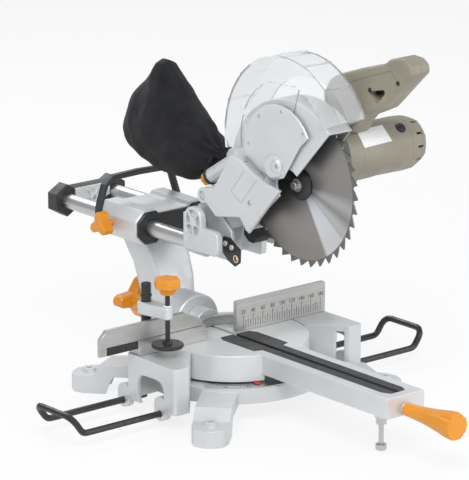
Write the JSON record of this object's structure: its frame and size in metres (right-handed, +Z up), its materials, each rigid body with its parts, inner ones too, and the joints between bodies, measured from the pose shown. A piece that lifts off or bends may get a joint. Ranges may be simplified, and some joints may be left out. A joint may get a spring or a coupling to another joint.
{
  "type": "sliding compound mitre saw",
  "caption": "Sliding mitre saw on a turntable base: tilting column with twin rails, hinged head with motor, blade, clear swing guard, work clamp and dust bag.",
  "frame": {"origin": "on the turntable's vertical axis, at bench level under the four feet", "axes": "+Z up, +X to the operator's right along the fence, -Y towards the operator; the blade plane is X = 0"},
  "size_m": [0.7214, 0.894, 0.5909],
  "materials": {
    "cast_silver": "cast aluminium, silver paint",
    "table_silver": "machined and bead blasted",
    "fence_steel": "brushed",
    "olive_plastic": "fine texture",
    "orange_plastic": "satin",
    "black_plastic": "fine texture",
    "grey_plastic": "fine texture",
    "white_plastic": "satin",
    "red_plastic": "satin",
    "rubber": "matte",
    "black_metal": "black oxide or black powder coat",
    "steel": "ground",
    "blade_steel": "ground in rings",
    "copper": "copper windings on a steel core",
    "clear_plastic": "clear polycarbonate",
    "cloth": "woven, dull black"
  },
  "bodies": {
    "base": {"base_casting": "cast_silver", "mitre_scale_plate": "steel", "fence_casting": "fence_steel", "turntable_pivot_bolt": "steel"},
    "left_fence": {"sliding_fence": "fence_steel", "fence_guide_bar": "black_metal"},
    "left_extension": {"extension_wire_left": "black_metal"},
    "right_extension": {"extension_wire_right": "black_metal"},
    "clamp_column": {"clamp_post": "black_metal"},
    "clamp_jib": {"clamp_arm": "cast_silver", "clamp_bush": "white_plastic"},
    "clamp_spindle": {"clamp_screw": "black_metal", "clamp_pad": "black_metal", "clamp_knob": "orange_plastic"},
    "table": {"turntable": "table_silver", "kerf_insert_left": "grey_plastic", "kerf_insert_right": "grey_plastic", "mitre_pointer": "red_plastic", "bevel_shaft": "steel", "levelling_nut": "steel"},
    "leveller": {"levelling_screw": "black_metal"},
    "mitre_lock": {"mitre_lock_rod": "steel", "mitre_lock_handle": "orange_plastic"},
    "bevel_lever": {"bevel_lock_handle": "orange_plastic"},
    "column_group": {"column": "cast_silver", "housing_front_cover": "black_plastic", "rail_bush_left": "white_plastic", "rail_bush_right": "white_plastic", "carry_handle": "grey_plastic"},
    "rail_lock": {"rail_lock_knob": "orange_plastic"},
    "carriage": {"rail_left": "steel", "rail_right": "steel", "rail_end_cap": "black_plastic", "rail_bracket": "cast_silver", "hinge_casting": "cast_silver", "hinge_pin": "steel", "return_spring": "steel", "stop_bracket": "black_metal"},
    "head": {"upper_guard": "cast_silver", "guard_side_cover": "cast_silver", "motor_housing": "olive_plastic", "motor_end_cap": "olive_plastic", "brush_cap_front": "black_plastic", "brush_cap_rear": "black_plastic", "field_core": "steel", "handle_shell_left": "olive_plastic", "handle_shell_right": "olive_plastic", "depth_stop_collar": "rubber", "dust_bag": "cloth", "dust_flap": "rubber"},
    "depth_stop": {"depth_stop_screw": "steel", "depth_stop_knob": "orange_plastic"},
    "switch_trigger": {"trigger": "black_plastic"},
    "swing_guard": {"lower_guard": "clear_plastic"},
    "cutter": {"saw_blade": "blade_steel", "spindle": "steel", "outer_flange": "black_metal", "arbor_bolt": "steel"},
    "rotor": {"armature": "copper"}
  },
  "joints": [
    {"name": "left_fence_slide", "type": "slide", "parent": "base", "child": "left_fence", "axis": [1, 0, 0], "range_m": [-0.05, 0]},
    {"name": "left_extension_slide", "type": "slide", "parent": "base", "child": "left_extension", "axis": [-1, 0, 0], "range_m": [-0.1, 0.02]},
    {"name": "right_extension_slide", "type": "slide", "parent": "base", "child": "right_extension", "axis": [1, 0, 0], "range_m": [-0.1, 0.02]},
    {"name": "clamp_lift", "type": "slide", "parent": "base", "child": "clamp_column", "axis": [0, 0, -1], "range_m": [-0.04, 0]},
    {"name": "clamp_swing", "type": "hinge", "parent": "clamp_column", "child": "clamp_jib", "pos_m": [-0.158, 0.0195, 0.16], "axis": [0, 0, -1], "range_deg": [-15, 15]},
    {"name": "clamp_feed", "type": "slide", "parent": "clamp_jib", "child": "clamp_spindle", "axis": [0, 0, -1], "range_m": [-0.03, 0.014]},
    {"name": "mitre_turn", "type": "hinge", "parent": "base", "child": "table", "pos_m": [0, 0, 0.1], "axis": [0, 0, -1], "range_deg": [-45, 45]},
    {"name": "leveller_feed", "type": "slide", "parent": "table", "child": "leveller", "axis": [0, 0, 1], "range_m": [0, 0.005]},
    {"name": "mitre_lock_turn", "type": "hinge", "parent": "table", "child": "mitre_lock", "pos_m": [0, -0.4, 0.078], "axis": [0, 1, 0], "range_deg": [-90, 90]},
    {"name": "bevel_lever_turn", "type": "hinge", "parent": "table", "child": "bevel_lever", "pos_m": [0, 0.24, 0.1], "axis": [0, 1, 0], "range_deg": [-30, 60]},
    {"name": "bevel_tilt", "type": "hinge", "parent": "table", "child": "column_group", "pos_m": [0, 0.0875, 0.1], "axis": [0, -1, 0], "range_deg": [0, 22.5]},
    {"name": "rail_lock_turn", "type": "hinge", "parent": "column_group", "child": "rail_lock", "pos_m": [-0.075, 0.211, 0.249], "axis": [1, 0, 0], "range_deg": [-90, 90]},
    {"name": "rail_slide", "type": "slide", "parent": "column_group", "child": "carriage", "axis": [0, 1, 0], "range_m": [-0.1, 0.06]},
    {"name": "head_drop", "type": "hinge", "parent": "carriage", "child": "head", "pos_m": [0, 0.015, 0.328], "axis": [1, 0, 0], "range_deg": [0, 50]},
    {"name": "depth_stop_turn", "type": "hinge", "parent": "head", "child": "depth_stop", "pos_m": [-0.018, 0.02994, 0.35194], "axis": [0, 0.8499, -0.5269], "continuous": true},
    {"name": "trigger_squeeze", "type": "slide", "parent": "head", "child": "switch_trigger", "axis": [0, 0, 1], "range_m": [0, 0.004], "stiffness_N_per_m": 300, "springref_m": -0.002},
    {"name": "guard_swing", "type": "hinge", "parent": "head", "child": "swing_guard", "pos_m": [-0.0297, -0.136, 0.401], "axis": [-1, 0, 0], "range_deg": [-113, 0]},
    {"name": "blade_spin", "type": "hinge", "parent": "head", "child": "cutter", "pos_m": [0, -0.16, 0.373], "axis": [1, 0, 0], "continuous": true},
    {"name": "motor_spin", "type": "hinge", "parent": "head", "child": "rotor", "pos_m": [0.1, -0.204, 0.421], "axis": [1, 0, 0], "continuous": true}
  ],
  "couplings": [
    {"joint": "motor_spin", "follows": "blade_spin", "ratio": -2.6154}
  ]
}
